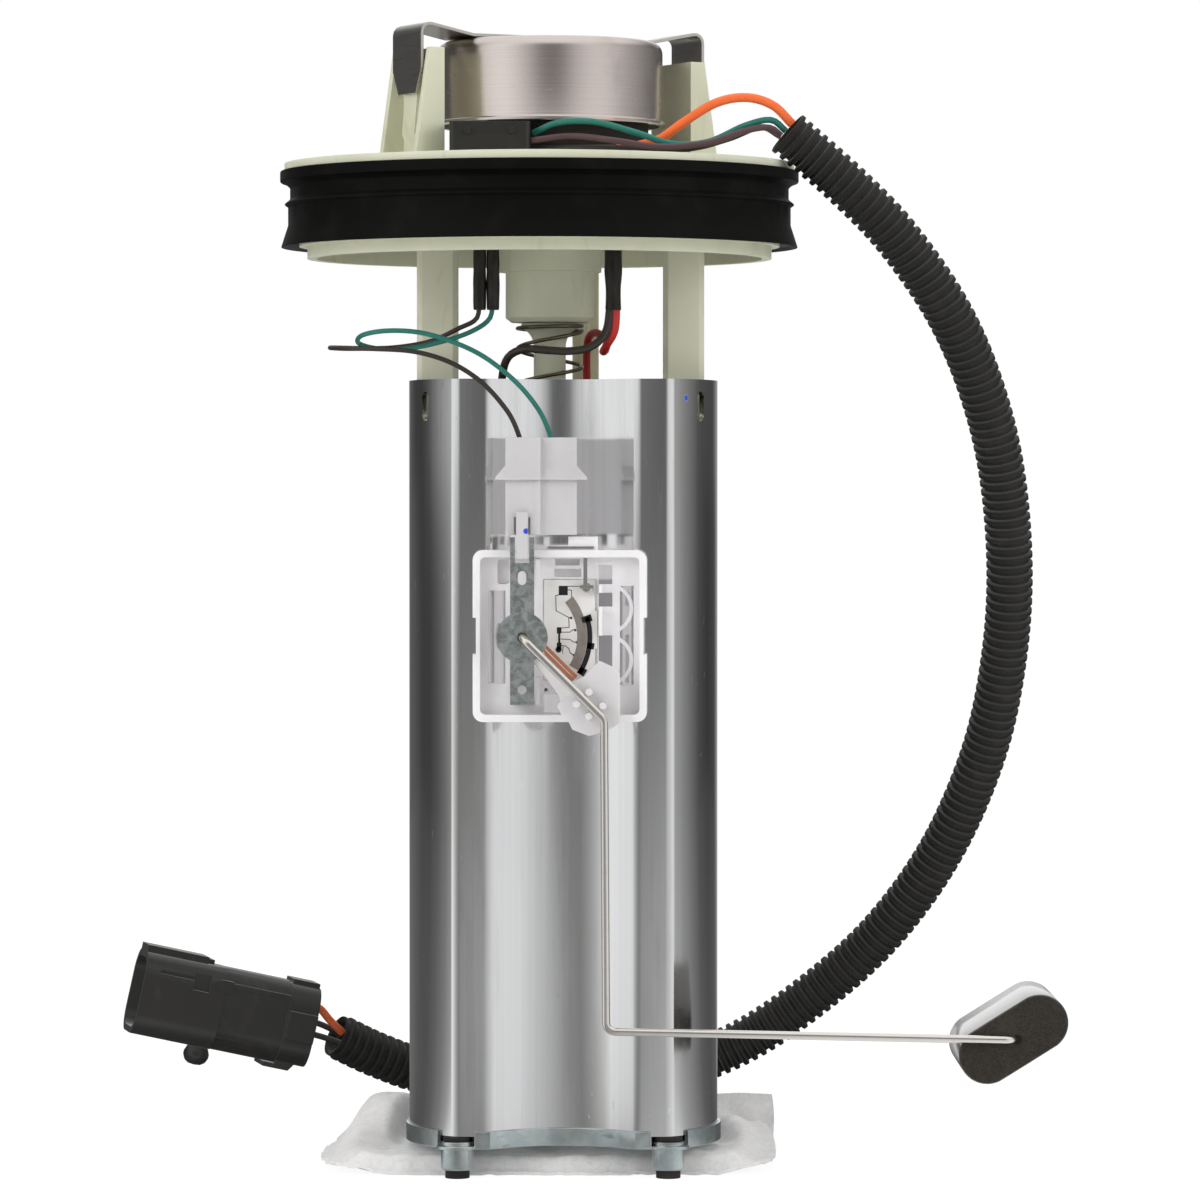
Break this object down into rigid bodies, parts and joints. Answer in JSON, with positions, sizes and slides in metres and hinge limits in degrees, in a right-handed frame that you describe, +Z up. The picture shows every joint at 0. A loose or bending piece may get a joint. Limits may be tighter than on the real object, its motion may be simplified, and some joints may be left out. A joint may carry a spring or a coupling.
{
  "type": "fuel pump module",
  "caption": "In-tank fuel pump module: tube with pump and level sender under a sealed flange that slides on guide legs against a spring, with harness.",
  "frame": {"origin": "foot of the housing tube's axis, in the plane on which the feet stand", "axes": "+Z up along the tube's axis; -Y is the flat front with the level sender; +Y is the way the fuel outlet points"},
  "size_m": [0.2376, 0.1397, 0.2866],
  "materials": {
    "tube_aluminium": "bright drawn",
    "zinc_plate": "zinc plated, bluish",
    "stainless": "brushed",
    "case_steel": "plated",
    "spring_steel": "oiled wire",
    "galvanised": "galvanised, mottled",
    "solder": "solder",
    "brass": "plain",
    "copper_alloy": "plain",
    "rotor_metal": "laminated and wound",
    "magnet": "sintered ferrite",
    "carbon": "carbon",
    "natural_plastic": "natural acetal, pale cream",
    "aged_plastic": "natural acetal, yellowish",
    "white_plastic": "white",
    "milky_plastic": "milky natural",
    "black_plastic": "matte black",
    "grey_plastic": "grey",
    "foam": "closed-cell foam, matte",
    "black_rubber": "semi-gloss",
    "black_sleeve": "heat shrunk",
    "felt": "white felt",
    "filter_paper": "pleated paper",
    "ceramic": "white, printed",
    "wire_black": "wire skin",
    "wire_green": "wire skin",
    "wire_red": "wire skin",
    "wire_orange": "wire skin"
  },
  "bodies": {
    "housing": {"housing_tube": "tube_aluminium", "base_pan": "zinc_plate", "foot_ferrules": "zinc_plate", "foot_bumpers": "black_rubber", "strainer_sock": "felt", "strainer_neck": "natural_plastic", "lower_holder": "natural_plastic", "lower_isolator": "black_rubber", "pump_case": "case_steel", "pump_inlet_cap": "grey_plastic", "pump_outlet_cap": "grey_plastic", "pump_magnets": "magnet", "pump_brushes": "carbon", "pump_terminals": "brass", "upper_isolator": "black_rubber", "upper_holder": "natural_plastic", "slip_coupling": "black_rubber", "coupling_oring": "black_rubber", "sender_frame": "milky_plastic", "sender_card": "ceramic", "sender_strap": "galvanised", "sender_clip": "solder", "sender_plug": "white_plastic", "compression_spring": "spring_steel", "sender_lead_black": "wire_black", "sender_lead_green": "wire_green", "pump_lead_black": "wire_black", "pump_lead_red": "wire_red", "harness_conduit": "black_plastic", "connector_shell": "black_plastic", "connector_collar": "black_plastic", "connector_pins": "brass", "connector_peg": "black_plastic", "tail_wire_orange": "wire_orange", "tail_wires_black": "wire_black"},
    "flange": {"flange_plate": "natural_plastic", "tank_seal": "black_rubber", "guide_leg_left": "natural_plastic", "guide_leg_right": "natural_plastic", "guide_leg_rear": "aged_plastic", "regulator_can": "stainless", "can_seal": "black_rubber", "filter_element": "filter_paper", "regulator_valve": "case_steel", "retaining_strap": "stainless", "fuel_outlet": "grey_plastic", "supply_stem": "natural_plastic", "terminal_block": "black_plastic", "lead_seals": "black_rubber", "lead_sleeves": "black_sleeve", "harness_wire_orange": "wire_orange", "harness_wire_green": "wire_green", "harness_wires_dark": "wire_black"},
    "float_arm": {"float_rod": "stainless", "float": "foam", "wiper_lever": "milky_plastic", "wiper_contacts": "copper_alloy"},
    "pump_rotor": {"pump_armature": "rotor_metal", "pump_impeller": "black_plastic"}
  },
  "joints": [
    {"name": "module_slide", "type": "slide", "parent": "housing", "child": "flange", "axis": [0, 0, 1], "range_m": [-0.018, 0], "stiffness_N_per_m": 800, "springref_m": 0.03, "deforming": ["compression_spring", "sender_lead_black", "sender_lead_green", "pump_lead_black", "pump_lead_red", "harness_conduit"]},
    {"name": "float_swing", "type": "hinge", "parent": "housing", "child": "float_arm", "pos_m": [-0.0099, -0.036, 0.134], "axis": [0, -1, 0], "range_deg": [0, 70]},
    {"name": "pump_spin", "type": "hinge", "parent": "housing", "child": "pump_rotor", "pos_m": [-0.0035, 0.008, 0.07], "axis": [0, 0, 1], "continuous": true}
  ]
}
